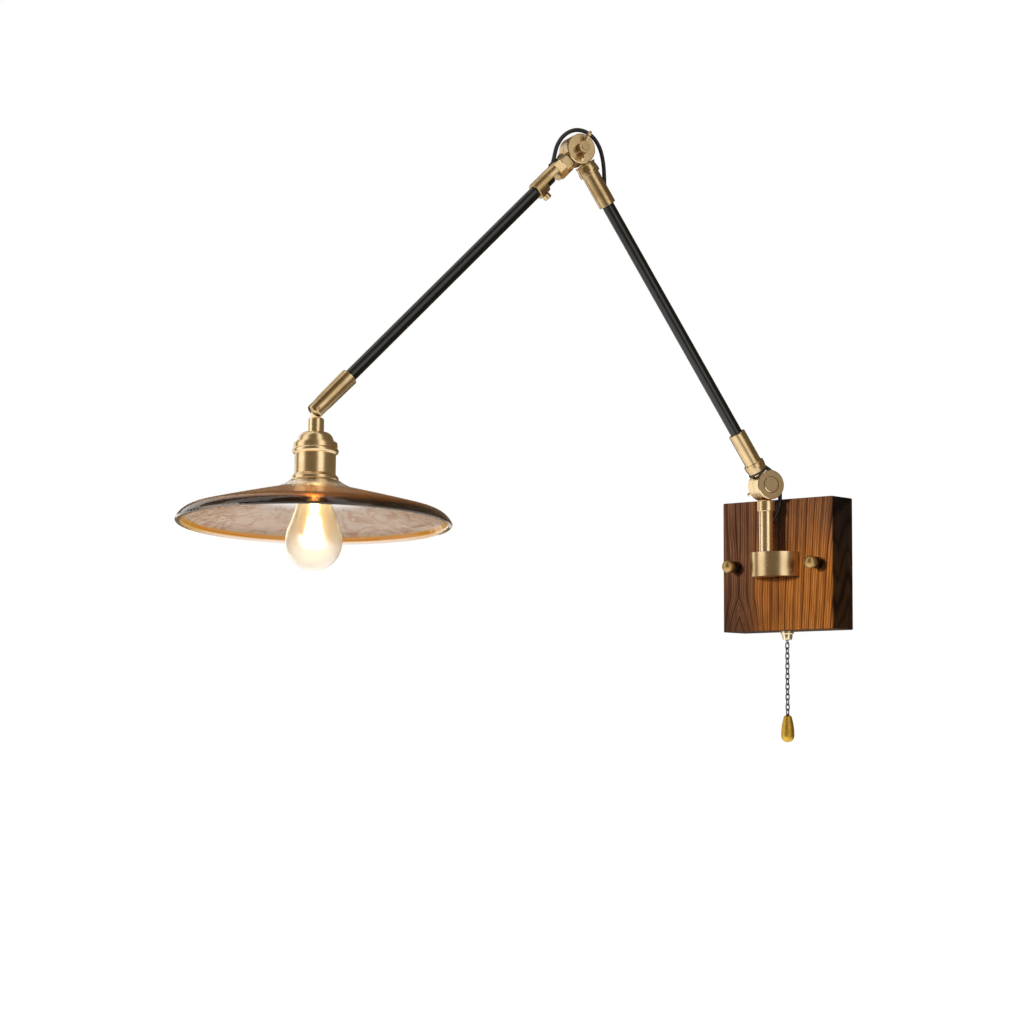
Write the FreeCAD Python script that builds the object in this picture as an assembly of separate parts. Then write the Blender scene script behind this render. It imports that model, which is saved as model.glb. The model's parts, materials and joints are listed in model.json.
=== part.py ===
"""Swing arm wall lamp: a wood block on the wall, a post that swings in a half-round drum, two tubes on
friction knuckles, a tilting head with a glass shade, and a pull chain switch. Millimetres, +Z up, the wall
is the plane y = 0 and the room is at -Y. The origin is the middle of the block's back."""
import FreeCAD, Part
import math
import os

V = FreeCAD.Vector
Placement = FreeCAD.Placement
Rotation = FreeCAD.Rotation

# Pose at rest, in degrees
swing_angle = 27.5            # arm plane, to the left of straight out from the wall
lower_arm_rise = 57.2         # lower arm above level
elbow_turn = 102.4            # from the lower arm's line down to the upper arm's line
wrist_roll = 4.5              # fork turned on the upper arm's tube
head_turn = 42.9              # from the upper arm's line to the lamp's axis

# Fits
thread_gap = 0.05             # radial, screwed and pushed pieces
running_gap = 0.05            # radial, pieces that turn
loose_gap = 0.3               # pieces that pass each other
edge_break = 0.5              # small chamfer on turned edges
cut_past = 1.0                # how far a cutter passes the face that it opens
same_place = 1e-6             # two places this close are one

# Wall block
block_side = 130.0
block_depth = 36.0
block_front_wall = 12.0
block_side_wall = 7.0
block_end_wall = 10.0
block_chamfer = 0.8

# Wall bracket and its studs
bracket_end_gap = 2.0
bracket_width = 22.0
bracket_thickness = 2.0
box_screw_spacing = 70.0
box_slot_width = 4.5
box_slot_length = 20.0
stud_spacing = 97.6
stud_radius = 2.0
stud_head_radius = 4.0
stud_head_height = 2.4
ball_radius = 6.5
ball_hole_depth = 8.0
ball_neck_radius = 4.6
spacer_length = 7.5
spacer_radius = 5.8

# Terminal block
terminal_width = 32.0
terminal_height = 20.0
terminal_depth = 12.0
terminal_screw_radius = 2.2
terminal_screw_depth = 3.0
terminal_pitch = 9.0
terminal_rows = (5.0, -1.0)
terminal_chamfer = 1.0

# Half-round drum and the swivel in it
drum_radius = 26.0
drum_height = 24.0
drum_wall = 1.8
drum_top = 3.5
drum_bottom = 2.0
drum_screw_spacing = 36.0
drum_screw_radius = 1.6
drum_boss_radius = 4.0
drum_boss_length = 9.0
drum_hole_floor = 1.0
drum_screw_head_radius = 3.2
drum_screw_head_height = 2.4
drum_screw_slot = 0.8
wire_hole_radius = 6.0
wire_drop = 7.0
post_standoff = 18.5
spigot_radius = 4.0
spigot_bore_radius = 2.5
spigot_below_top = 2.5
spigot_in_post = 8.0
ring_radius = 5.5
ring_thickness = 1.0
swivel_washer_thickness = 0.6

# Post
post_radius = 7.25
post_bore_radius = 5.2
post_collar_radius = 9.0
post_collar_length = 11.0
post_collar_chamfer = 1.0
post_plug_length = 2.5
post_slot_length = 15.5
shoulder_height = 77.6

# Friction knuckles
disc_radius = 14.5
disc_thickness = 11.0
disc_chamfer = 0.8
neck_radius = 6.0
neck_gap = 0.45
friction_washer_thickness = 0.5
friction_washer_radius = 12.0
bolt_radius = 3.0
bolt_head_radius = 7.75
bolt_head_height = 3.0
counterbore_gap = 0.5
counterbore_depth = 2.5
wing_hub_radius = 6.2
wing_hub_top_radius = 5.6
wing_hub_height = 8.0
shoulder_wing_reach = 12.3    # small enough to pass over the block's top
elbow_wing_reach = 15.6
wing_rise = 12.5
wing_thickness = 1.8
wing_foot = 0.8
wing_sweep = 1.8
wing_lobe_radius = 2.6
wing_root_drop = 1.5
wing_root_depth = 1.0
shoulder_nut_turn = 101.0
elbow_nut_turn = 27.0
bolt_past_nut = 1.0

# Lower arm
lower_arm_length = 375.5
tube_radius = 6.0
tube_bore_radius = 5.0
seal_washer_thickness = 1.4
seal_lip = 0.9
collar_small_radius = 9.3
collar_radius = 10.3
collar_end = 26.0
collar_rim = 4.0
sleeve_radius = 8.5
sleeve_end = 59.7
neck_in_sleeve = 5.0
lower_tube_start = 51.0
cord_slot_width = 5.4
lower_slot_start = 32.5
lower_slot_end = 50.0
shoulder_slot_turn = 45.0     # away from the arm plane, so that the cord passes behind
grub_radius = 1.2
grub_recess = 0.6

# Upper arm
upper_arm_length = 372.0
lock_nut_flats = 17.5
lock_nut_length = 8.4
lock_nut_turn = 30.0
lock_nut_twist = 14.0
lock_nut_chamfer = 0.6
upper_sleeve_end = 62.0
neck_in_upper_sleeve = 2.0
upper_tube_start = 39.5
upper_slot_start = 18.5
upper_slot_end = 38.2
upper_slot_floor = 1.2
window_start = 34.2
window_end = 50.0
window_depth = 1.0
clamp_screw_place = 55.8
clamp_screw_radius = 2.0
clamp_head_radius = 4.0
clamp_head_length = 4.4

# Wrist
fork_length = 45.6
fork_radius = 8.4
fork_tip_radius = 7.7
fork_past_pivot = 5.2
fork_tip_round = 3.6
fork_tube_depth = 14.0
fork_bore_radius = 4.0
fork_bore_end = 14.0
fork_slot_depth = 9.0
tongue_thickness = 5.0
tongue_radius = 4.5
tongue_gap = 0.1
wrist_pin_radius = 1.5
wrist_pin_recess = 0.2

# Lamp head, distances below the wrist pin
stem_radius = 7.3
stem_top = 8.3
stem_bottom = 21.6
stem_round = 1.0
stem_bore_radius = 3.0
stem_bore_depth = 6.0
cap_dome_radius = 15.9
cap_dome_bottom = 27.0
cap_dome_bulge = 2.0
cap_step_radius = 17.3
cap_ring_radius = 20.2
cap_ring_top = 31.0
cap_ring_bottom = 36.6
cap_ring_bead = 0.6
cap_roof = 3.6
cap_inner_radius = 12.9
cap_inner_top = 29.0
cap_lip = 1.0
shell_bead_radius = 21.3
shell_bead = 1.0
shell_bead_bottom = 42.0
shell_radius = 18.85
shell_wall = 1.4
shell_bottom = 60.4
flange_radius = 21.6
flange_step = 1.6
flange_top = 63.4
flange_edge = 1.2
flange_bottom = 67.0
shell_thread_radius = 19.0
shell_thread_bottom = 79.0
shade_ring_radius = 22.9
shade_ring_height = 4.5
shade_ring_chamfer = 1.0

# Lamp holder and bulb, distances below the wrist pin
holder_radius = 16.8
holder_top = 40.0
holder_floor = 47.0
holder_bottom = 66.0
screw_shell_radius = 14.4
screw_shell_wall = 0.5
screw_shell_above = 3.0
contact_radius = 3.0
contact_height = 1.2
contact_chamfer = 0.8
bulb_base_radius = 13.1
bulb_base_top = 52.0
bulb_tip_radius = 4.0
bulb_base_bottom = 76.0
bulb_radius = 26.0
bulb_centre = 123.0
bulb_glass_wall = 0.8
bulb_neck_length = 3.0
bulb_flank_inset = 4.2
bulb_flank_rise = 17.0
bulb_flank_hollow = 0.3
bulb_cheek_bulge = 1.17
filament_stem_radius = 4.0
filament_stem_flare = 4.0
filament_flare_length = 8.0
filament_stem_taper = 1.5
filament_top = 100.0
filament_bottom = 126.0
filament_ring_radius = 9.0
filament_wire_radius = 0.5
filament_plate = 1.2
filament_plate_edge = 0.3
filament_count = 6

# Glass shade, distances below the wrist pin
shade_radius = 126.5
shade_rim_level = 107.3
shade_hole_gap = 0.6
shade_glass = 3.0
shade_bead_radius = 2.3
shade_seat_radius = 23.4
shade_neck_radius = 39.0
shade_neck_drop = 8.0
shade_neck_flare = 0.6
shade_slope_radius = 113.5
shade_slope_drop = 27.2
shade_slope_crown = 0.3
shade_rim_bulge = 1.9

# Pull switch, in the block's bottom wall
switch_standoff = 18.5
switch_width = 22.0
switch_depth = 16.0
switch_height = 24.0
switch_round = 1.5
switch_neck_radius = 4.8
switch_neck_bore = 2.4
bell_radius = 6.6
bell_flange = 2.4
bell_step = 1.2
bell_step_drop = 0.8
bell_bulge = 0.2
bell_mouth_radius = 4.6
bell_mouth_bore = 3.0
bell_length = 8.5
plunger_radius = 2.0
plunger_above = 6.0
plunger_room = 1.0
eye_level = 11.0
eye_wire_radius = 0.6
eye_radius = 1.7

# Pull chain
chain_links = 15
link_wire_radius = 0.62
link_inner_length = 5.2
link_inner_width = 2.4
link_slack = 0.12
pendant_top_radius = 3.9
pendant_radius = 6.5
pendant_belly = 19.8
pendant_chamfer = 0.9
pendant_bulge = 0.7
pendant_bore_radius = 2.7
pendant_bore_depth = 7.0
pendant_bar_seat = 0.6

# Cord
cord_radius = 2.0
arc_share = 0.45

NODES = {}


def profile(start, *steps):
    """A flat closed outline in XZ: a step of two numbers is a line, of four an arc by way of its first two."""
    edges = []
    here = V(start[0], 0, start[1])
    for step in steps + (start,):
        end = V(step[-2], 0, step[-1])
        if here.isEqual(end, same_place):
            continue
        if len(step) == 4:
            edges.append(Part.Arc(here, V(step[0], 0, step[1]), end).toShape())
        else:
            edges.append(Part.makeLine(here, end))
        here = end
    return Part.Face(Part.Wire(edges))


def between(start, end, bulge):
    """The middle of an arc from one outline point to the next that stands out by a bulge on its upper side."""
    run = (end[0] - start[0], end[1] - start[1])
    length = math.hypot(*run)
    middle = ((start[0] + end[0]) / 2, (start[1] + end[1]) / 2)
    return (middle[0] - run[1] / length * bulge, middle[1] + run[0] / length * bulge)


def turned(start, *steps):
    """A lathe-turned solid about Z from its outline of radius and height."""
    return profile(start, *steps).revolve(V(0, 0, 0), V(0, 0, 1), 360)


def rod(radius, start, end):
    """A round rod from one point to another."""
    line = end - start
    return Part.makeCylinder(radius, line.Length, start, line)


def tube(radius, bore, start, end):
    return rod(radius, start, end).cut(rod(bore, start, end))


def block(low, high):
    size = V(*high) - V(*low)
    return Part.makeBox(size.x, size.y, size.z, V(*low))


def along_x(shape):
    """Lays a piece that was turned about Z along X."""
    return moved(shape, Placement(V(), Rotation(V(0, 1, 0), 90)))


def moved(shape, place):
    copy = shape.copy()
    copy.Placement = place.multiply(copy.Placement)
    return copy


def stadium_prism(length, width, low, high):
    """A round-ended slot cutter along X, centred on the origin, from low to high in Z."""
    half = length / 2 - width / 2
    ends = [Part.makeCylinder(width / 2, high - low, V(x, 0, low)) for x in (-half, half)]
    return ends[0].fuse(ends[1:] + [block((-half, -width / 2, low), (half, width / 2, high))])


def slot_along(start, end, width, low, high):
    """A round-ended slot cutter along X between two places."""
    cutter = stadium_prism(end - start, width, low, high)
    return moved(cutter, Placement(V((start + end) / 2, 0, 0), Rotation()))


def keep(name, solids, place=Placement()):
    """Names a piece, or a group of alike pieces, and puts it in its place."""
    group = solids if isinstance(solids, list) else [solids]
    group = [moved(solid.removeSplitter(), place) for solid in group]
    NODES[name] = group[0] if len(group) == 1 else Part.makeCompound(group)


def cord_tube(name, points):
    """A cord along its route: straight runs joined by tangent arcs, each as large as its runs allow."""
    lengths = [(b - a).Length for a, b in zip(points, points[1:])]
    edges = []
    radii = []
    here = points[0]
    for i in range(1, len(points) - 1):
        back = (points[i - 1] - points[i]).normalize()
        on = (points[i + 1] - points[i]).normalize()
        half_turn = (math.pi - back.getAngle(on)) / 2
        reach = arc_share * min(lengths[i - 1], lengths[i])
        radius = reach / math.tan(half_turn)
        first = points[i] + back * reach
        last = points[i] + on * reach
        inward = (back + on).normalize()
        middle = points[i] + inward * (radius / math.cos(half_turn) - radius)
        edges.append(Part.LineSegment(here, first).toShape())
        edges.append(Part.Arc(first, middle, last).toShape())
        radii.append(round(radius, 1))
        here = last
    edges.append(Part.LineSegment(here, points[-1]).toShape())
    path = Part.Wire(edges)
    section = Part.Wire(Part.makeCircle(cord_radius, points[0], points[1] - points[0]))
    solid = path.makePipeShell([section], True, False)
    expected = math.pi * cord_radius ** 2 * path.Length
    print(name, "length", round(path.Length, 1), "radii", radii, "volume", round(solid.Volume / expected, 4))
    return solid


# Frames of the moving parts: X runs out along the arm, Y is the knuckle's axis
post_axis = V(0, -block_depth - post_standoff, 0)
POST = Placement(post_axis, Rotation(V(0, 0, 1), -90 - swing_angle))
SHOULDER = POST.multiply(Placement(V(0, 0, shoulder_height), Rotation(V(0, 1, 0), -lower_arm_rise)))
LOWER_END = SHOULDER.multiply(Placement(V(lower_arm_length, 0, 0), Rotation(V(0, 1, 0), 180)))
ELBOW = SHOULDER.multiply(Placement(V(lower_arm_length, 0, 0), Rotation(V(0, 1, 0), elbow_turn)))
FORK = ELBOW.multiply(Placement(V(upper_arm_length, 0, 0), Rotation(V(1, 0, 0), wrist_roll)))
HEAD = FORK.multiply(Placement(V(), Rotation(V(0, 1, 0), head_turn - 90)))

# Shared places
block_half = block_side / 2
cavity_depth = block_depth - block_front_wall
drum_half = drum_height / 2
post_bottom = drum_half + swivel_washer_thickness
post_top = shoulder_height - disc_radius - neck_gap - post_collar_length
washer_half = friction_washer_thickness / 2
neck_start = disc_radius + neck_gap
head_seat = disc_thickness - counterbore_depth


# Wall block, hollow behind, with holes for the studs, the drum's screws, the cord and the switch
def make_wood_block():
    solid = block((-block_half, -block_depth, -block_half), (block_half, 0, block_half))
    front = [edge for edge in solid.Edges if edge.BoundBox.YMax < -block_depth + same_place]
    upright = [e for e in solid.Edges if e.BoundBox.YLength > block_depth - same_place]
    solid = solid.makeChamfer(block_chamfer, front + upright)
    inner_x = block_half - block_side_wall
    inner_z = block_half - block_end_wall
    solid = solid.cut(block((-inner_x, -cavity_depth, -inner_z), (inner_x, cut_past, inner_z)))
    holes = [rod(wire_hole_radius, V(0, -block_depth - cut_past, -wire_drop), V(0, 0, -wire_drop))]
    for side in (-1, 1):
        stud_x = side * stud_spacing / 2
        screw_x = side * drum_screw_spacing / 2
        holes.append(rod(stud_radius + loose_gap, V(stud_x, -block_depth - cut_past, 0), V(stud_x, 0, 0)))
        entry = V(screw_x, -block_depth - cut_past, 0)
        holes.append(rod(drum_screw_radius + loose_gap, entry, V(screw_x, 0, 0)))
    switch_hole = switch_neck_radius + loose_gap
    holes.append(rod(switch_hole, V(0, -switch_standoff, -block_half - cut_past), V(0, -switch_standoff, 0)))
    keep("wood_block", solid.cut(holes))


def make_wall_bracket():
    half = block_half - block_side_wall - bracket_end_gap
    plate = block((-half, -bracket_thickness, -bracket_width / 2), (half, 0, bracket_width / 2))
    corners = [e for e in plate.Edges if e.BoundBox.YLength > bracket_thickness - same_place]
    plate = plate.makeFillet(bracket_width / 4, corners)
    upright = Rotation(V(1, 0, 0), 90)
    cutters = []
    for side in (-1, 1):
        slot = stadium_prism(box_slot_length, box_slot_width, -cut_past, bracket_thickness + cut_past)
        cutters.append(moved(slot, Placement(V(side * box_screw_spacing / 2, 0, 0), upright)))
        stud_x = side * stud_spacing / 2
        cutters.append(rod(stud_radius + thread_gap, V(stud_x, cut_past, 0), V(stud_x, -block_depth, 0)))
    keep("wall_bracket", plate.cut(cutters))


def make_studs_and_ball_nuts():
    studs, spacers, balls = [], [], []
    face = -block_depth
    ball_middle = face - spacer_length - ball_radius
    stud_tip = face - spacer_length - ball_hole_depth + loose_gap
    for side in (-1, 1):
        x = side * stud_spacing / 2
        shaft = rod(stud_radius, V(x, 0, 0), V(x, stud_tip, 0))
        head_back = -bracket_thickness
        head = rod(stud_head_radius, V(x, head_back, 0), V(x, head_back - stud_head_height, 0))
        studs.append(shaft.fuse(head))
        bore = stud_radius + thread_gap
        spacers.append(tube(spacer_radius, bore, V(x, face, 0), V(x, face - spacer_length, 0)))
        ball = Part.makeSphere(ball_radius, V(x, ball_middle, 0))
        seat = rod(ball_neck_radius, V(x, face - spacer_length, 0), V(x, ball_middle, 0))
        hole = rod(bore, V(x, face, 0), V(x, face - spacer_length - ball_hole_depth, 0))
        balls.append(ball.fuse(seat).cut(hole))
    keep("bracket_studs", studs)
    keep("ball_nut_spacers", spacers)
    keep("ball_nuts", balls)


def make_terminal_block():
    back = -bracket_thickness
    front = back - terminal_depth
    half = terminal_width / 2
    body = block((-half, front, -terminal_height / 2), (half, back, terminal_height / 2))
    long_edges = [e for e in body.Edges if e.BoundBox.XLength > terminal_width - same_place]
    body = body.makeChamfer(terminal_chamfer, [e for e in long_edges if e.BoundBox.YMax < front + same_place])
    wells = []
    for place in (-1, 0, 1):
        for row in terminal_rows:
            at = V(place * terminal_pitch, front, row)
            wells.append(rod(terminal_screw_radius, at - V(0, cut_past, 0), at + V(0, terminal_screw_depth, 0)))
    keep("terminal_block", body.cut(wells))


# Half-round drum that carries the post
def make_swivel_drum():
    face = V(0, -block_depth, -drum_half)
    outward = Rotation(V(0, 0, 1), 180)
    shell = moved(Part.makeCylinder(drum_radius, drum_height, V(), V(0, 0, 1), 180), Placement(face, outward))
    hollow_height = drum_height - drum_top - drum_bottom
    hollow = Part.makeCylinder(drum_radius - drum_wall, hollow_height, V(0, 0, drum_bottom), V(0, 0, 1), 180)
    shell = shell.cut(moved(hollow, Placement(face, outward)))
    for side in (-1, 1):
        start = V(side * drum_screw_spacing / 2, -block_depth, 0)
        boss = rod(drum_boss_radius, start, start - V(0, drum_boss_length, 0))
        hole = rod(drum_screw_radius + thread_gap, start, start - V(0, drum_boss_length - drum_hole_floor, 0))
        shell = shell.fuse(boss.fuse(rib_behind(start, hollow_height))).cut(hole)
    swivel_hole = rod(spigot_radius + running_gap, post_axis, post_axis + V(0, 0, drum_height))
    keep("swivel_drum", shell.cut(swivel_hole))


def rib_behind(start, height):
    """A web that ties a screw boss to the drum's floor and top."""
    low = start + V(-drum_wall / 2, -drum_boss_length, drum_bottom - drum_half)
    return Part.makeBox(drum_wall, drum_boss_length, height, low)


def make_drum_screws():
    screws = []
    inner_face = -cavity_depth
    tip = -block_depth - drum_boss_length + drum_hole_floor + loose_gap
    for side in (-1, 1):
        x = side * drum_screw_spacing / 2
        shaft = rod(drum_screw_radius, V(x, inner_face, 0), V(x, tip, 0))
        head = rod(drum_screw_head_radius, V(x, inner_face, 0), V(x, inner_face + drum_screw_head_height, 0))
        slot_low = V(x - drum_screw_head_radius, inner_face + drum_screw_head_height / 2, -drum_screw_slot / 2)
        slot = Part.makeBox(2 * drum_screw_head_radius, drum_screw_head_height, drum_screw_slot, slot_low)
        screws.append(shaft.fuse(head.cut(slot)))
    keep("drum_screws", screws)


# Post that swings in the drum
def make_post():
    under_top = drum_half - drum_top
    spigot_low = under_top - spigot_below_top
    in_post = post_bore_radius - thread_gap
    spigot = turned(
        (spigot_bore_radius, spigot_low), (spigot_radius, spigot_low), (spigot_radius, post_bottom),
        (in_post, post_bottom), (in_post, post_bottom + spigot_in_post),
        (spigot_bore_radius, post_bottom + spigot_in_post))
    keep("swivel_spigot", spigot, POST)
    ring_top = under_top - loose_gap
    ring = tube(ring_radius, spigot_radius + thread_gap, V(0, 0, ring_top), V(0, 0, ring_top - ring_thickness))
    keep("retaining_ring", ring, POST)
    washer = tube(post_radius, spigot_radius + thread_gap, V(0, 0, drum_half), V(0, 0, post_bottom))
    keep("swivel_washer", washer, POST)
    pipe = tube(post_radius, post_bore_radius, V(0, 0, post_bottom), V(0, 0, post_top))
    slot_top = post_top - post_plug_length - loose_gap
    slot = slot_along(slot_top - post_slot_length, slot_top, cord_slot_width, 0, post_radius + cut_past)
    keep("post_tube", pipe.cut(moved(slot, Placement(V(), Rotation(V(0, 1, 0), -90)))), POST)


# Half-lapped knuckle: one disc of the pair, on the side given, with a neck along X
def knuckle_half(side, neck_end, head_here):
    disc = rod(disc_radius, V(0, side * washer_half, 0), V(0, side * disc_thickness, 0))
    outer = [e for e in disc.Edges if abs(abs(e.BoundBox.Center.y) - disc_thickness) < same_place]
    disc = disc.makeChamfer(disc_chamfer, outer)
    bridge = rod(neck_radius, V(0, 0, 0), V(neck_start, 0, 0))
    far = 2 * disc_thickness
    keep_low = min(side * washer_half, side * far)
    half_space = block((-far, keep_low, -far), (far, keep_low + far - washer_half, far))
    neck = rod(neck_radius, V(neck_start, 0, 0), V(neck_end, 0, 0))
    solid = disc.fuse([bridge.common(half_space), neck])
    solid = solid.cut(rod(bolt_radius + running_gap, V(0, -far, 0), V(0, far, 0)))
    if head_here:
        seat = rod(bolt_head_radius + counterbore_gap, V(0, side * head_seat, 0), V(0, side * far, 0))
        solid = solid.cut(seat)
    return solid


def knuckle_bolt(side):
    """Bolt with a round head on one side and a thread for the wing nut on the other."""
    thread_end = -disc_thickness - wing_hub_height - bolt_past_nut
    bolt = turned(
        (0, thread_end), (bolt_radius, thread_end), (bolt_radius, head_seat), (bolt_head_radius, head_seat),
        (bolt_head_radius, head_seat + bolt_head_height - edge_break),
        (bolt_head_radius - edge_break, head_seat + bolt_head_height), (0, head_seat + bolt_head_height))
    return moved(bolt, Placement(V(), Rotation(V(1, 0, 0), -90 * side)))


def friction_washer():
    hole = bolt_radius + thread_gap
    return tube(friction_washer_radius, hole, V(0, -washer_half, 0), V(0, washer_half, 0))


def wing_nut(side, turn, reach):
    """Hub and two upswept wings, turned to its place on the bolt."""
    bore = bolt_radius + thread_gap
    hub = turned(
        (bore, 0), (wing_hub_radius, 0), (wing_hub_top_radius, wing_hub_height), (bore, wing_hub_height))
    root = bolt_radius + wing_root_depth
    diagonal = wing_lobe_radius * math.sqrt(0.5)
    lobe = (reach - wing_lobe_radius, wing_rise - wing_lobe_radius)
    foot = (wing_hub_radius, wing_foot)
    outside = (reach, lobe[1])
    inside = (lobe[0] - wing_lobe_radius, lobe[1])
    wing = profile(
        (root, wing_foot), foot, between(foot, outside, -wing_sweep) + outside,
        (lobe[0] + diagonal, lobe[1] + diagonal, lobe[0], wing_rise),
        (lobe[0] - diagonal, lobe[1] + diagonal) + inside, (root, wing_hub_height - wing_root_drop))
    wing = wing.extrude(V(0, wing_thickness, 0)).translated(V(0, -wing_thickness / 2, 0))
    other = moved(wing, Placement(V(), Rotation(V(0, 0, 1), 180)))
    nut = hub.fuse([wing, other])
    stand = Placement(V(0, side * disc_thickness, 0), Rotation(V(1, 0, 0), -90 * side))
    return moved(nut, Placement(V(), Rotation(V(0, 1, 0), turn)).multiply(stand))


def make_post_knuckle():
    solid = knuckle_half(-1, neck_start + post_collar_chamfer, False)
    collar_low = neck_start + post_collar_length
    plug = post_bore_radius - thread_gap
    collar = along_x(turned(
        (0, neck_start), (post_collar_radius - post_collar_chamfer, neck_start),
        (post_collar_radius, neck_start + post_collar_chamfer), (post_collar_radius, collar_low - edge_break),
        (post_collar_radius - edge_break, collar_low), (plug, collar_low),
        (plug, collar_low + post_plug_length), (0, collar_low + post_plug_length)))
    down = Placement(V(0, 0, shoulder_height), Rotation(V(0, 1, 0), 90))
    keep("post_knuckle", solid.fuse(collar), POST.multiply(down))


# Arm end: seal washer, tapered collar and sleeve on the knuckle's neck
def tapered_collar():
    start = neck_start + seal_washer_thickness
    bore = neck_radius + thread_gap
    return along_x(turned(
        (bore, start), (collar_small_radius, start), (collar_radius, collar_end - collar_rim),
        (collar_radius, collar_end - edge_break), (collar_radius - edge_break, collar_end), (bore, collar_end)))


def seal_washer():
    end = V(neck_start + seal_washer_thickness, 0, 0)
    return tube(collar_small_radius + seal_lip, neck_radius + thread_gap, V(neck_start, 0, 0), end)


def arm_sleeve(start, end):
    bore = tube_radius + thread_gap
    return along_x(turned(
        (bore, start), (sleeve_radius, start), (sleeve_radius, end - edge_break),
        (sleeve_radius - edge_break, end), (bore, end)))


def grub_hole(radius, floor):
    """The collar's grub screw points at the neck along Y."""
    place = collar_end - collar_rim / 2
    return rod(radius, V(place, floor, 0), V(place, collar_radius + cut_past, 0))


def make_lower_arm():
    neck_end = collar_end + neck_in_sleeve
    upper_side = slot_along(lower_slot_start, lower_slot_end, cord_slot_width, 0, sleeve_radius + cut_past)
    back_side = moved(upper_side, Placement(V(), Rotation(V(1, 0, 0), shoulder_slot_turn)))
    collar = tapered_collar().cut(grub_hole(grub_radius, neck_radius))
    grub = grub_hole(grub_radius - thread_gap, neck_radius)
    grub_top = V(0, collar_radius - grub_recess, 0)
    grub = grub.common(block((0, 0, -sleeve_radius), (lower_arm_length, grub_top.y, sleeve_radius)))
    sleeve = arm_sleeve(collar_end, sleeve_end)
    keep("shoulder_knuckle", knuckle_half(1, neck_end, True), SHOULDER)
    keep("shoulder_seal", seal_washer(), SHOULDER)
    keep("shoulder_collar", collar, SHOULDER)
    keep("shoulder_sleeve", sleeve.cut(back_side), SHOULDER)
    keep("shoulder_bolt", knuckle_bolt(1), SHOULDER)
    keep("shoulder_friction_washer", friction_washer(), SHOULDER)
    keep("shoulder_wing_nut", wing_nut(-1, shoulder_nut_turn, shoulder_wing_reach), SHOULDER)
    start = V(lower_tube_start, 0, 0)
    end = V(lower_arm_length - lower_tube_start, 0, 0)
    keep("lower_arm_tube", tube(tube_radius, tube_bore_radius, start, end), SHOULDER)
    wall_side = moved(upper_side, Placement(V(), Rotation(V(1, 0, 0), 180)))
    keep("elbow_collar", collar, LOWER_END)
    keep("elbow_sleeve", sleeve.cut(wall_side), LOWER_END)
    keep("elbow_knuckle", knuckle_half(1, neck_end, False), LOWER_END)
    keep("elbow_seal", seal_washer(), LOWER_END)
    keep("collar_grub_screws", [moved(grub, SHOULDER), moved(grub, LOWER_END)])


def make_upper_arm():
    nut_start = neck_start + loose_gap
    sleeve_start = nut_start + 2 * lock_nut_length
    slot = slot_along(upper_slot_start, upper_slot_end, cord_slot_width, upper_slot_floor, 2 * sleeve_radius)
    knuckle = knuckle_half(-1, sleeve_start + neck_in_upper_sleeve, True)
    keep("upper_arm_knuckle", knuckle.cut(slot), ELBOW)
    keep("elbow_bolt", knuckle_bolt(-1), ELBOW)
    keep("elbow_friction_washer", friction_washer(), ELBOW)
    keep("elbow_wing_nut", wing_nut(1, elbow_nut_turn, elbow_wing_reach), ELBOW)
    nuts = []
    for i in range(2):
        start = nut_start + i * lock_nut_length
        nuts.append(lock_nut(start, lock_nut_turn + i * lock_nut_twist).cut(slot))
    keep("upper_arm_lock_nuts", nuts, ELBOW)
    sleeve = arm_sleeve(sleeve_start, upper_sleeve_end)
    far = 2 * sleeve_radius
    window = block((window_start, -far, -far), (window_end, far, -window_depth))
    shaft_hole = rod(clamp_screw_radius + thread_gap, V(clamp_screw_place, 0, 0), V(clamp_screw_place, 0, -far))
    keep("upper_arm_sleeve", sleeve.cut([slot, window, shaft_hole]), ELBOW)
    seat = -sleeve_radius - loose_gap
    tip = -tube_radius - thread_gap
    shaft = rod(clamp_screw_radius, V(clamp_screw_place, 0, tip), V(clamp_screw_place, 0, seat))
    head_foot = V(clamp_screw_place, 0, seat)
    head = rod(clamp_head_radius, head_foot, head_foot - V(0, 0, clamp_head_length))
    rim = [e for e in head.Edges if e.BoundBox.ZMax < seat - clamp_head_length + same_place]
    keep("sleeve_clamp_screw", shaft.fuse(head.makeChamfer(edge_break, rim)), ELBOW)
    start = V(upper_tube_start, 0, 0)
    end = V(upper_arm_length - fork_length + fork_tube_depth, 0, 0)
    keep("upper_arm_tube", tube(tube_radius, tube_bore_radius, start, end), ELBOW)


def lock_nut(start, turn):
    """A six-sided nut along X."""
    corner = lock_nut_flats / 2 / math.cos(math.pi / 6)
    points = [V(0, corner * math.cos(i * math.pi / 3), corner * math.sin(i * math.pi / 3)) for i in range(7)]
    nut = Part.Face(Part.makePolygon(points)).extrude(V(lock_nut_length, 0, 0))
    rounding = along_x(turned(
        (0, 0), (corner - lock_nut_chamfer, 0), (corner, lock_nut_chamfer),
        (corner, lock_nut_length - lock_nut_chamfer), (corner - lock_nut_chamfer, lock_nut_length),
        (0, lock_nut_length)))
    bore = rod(neck_radius + thread_gap, V(-cut_past, 0, 0), V(lock_nut_length + cut_past, 0, 0))
    nut = nut.common(rounding).cut(bore)
    return moved(nut, Placement(V(start, 0, 0), Rotation(V(1, 0, 0), turn)))


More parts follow.
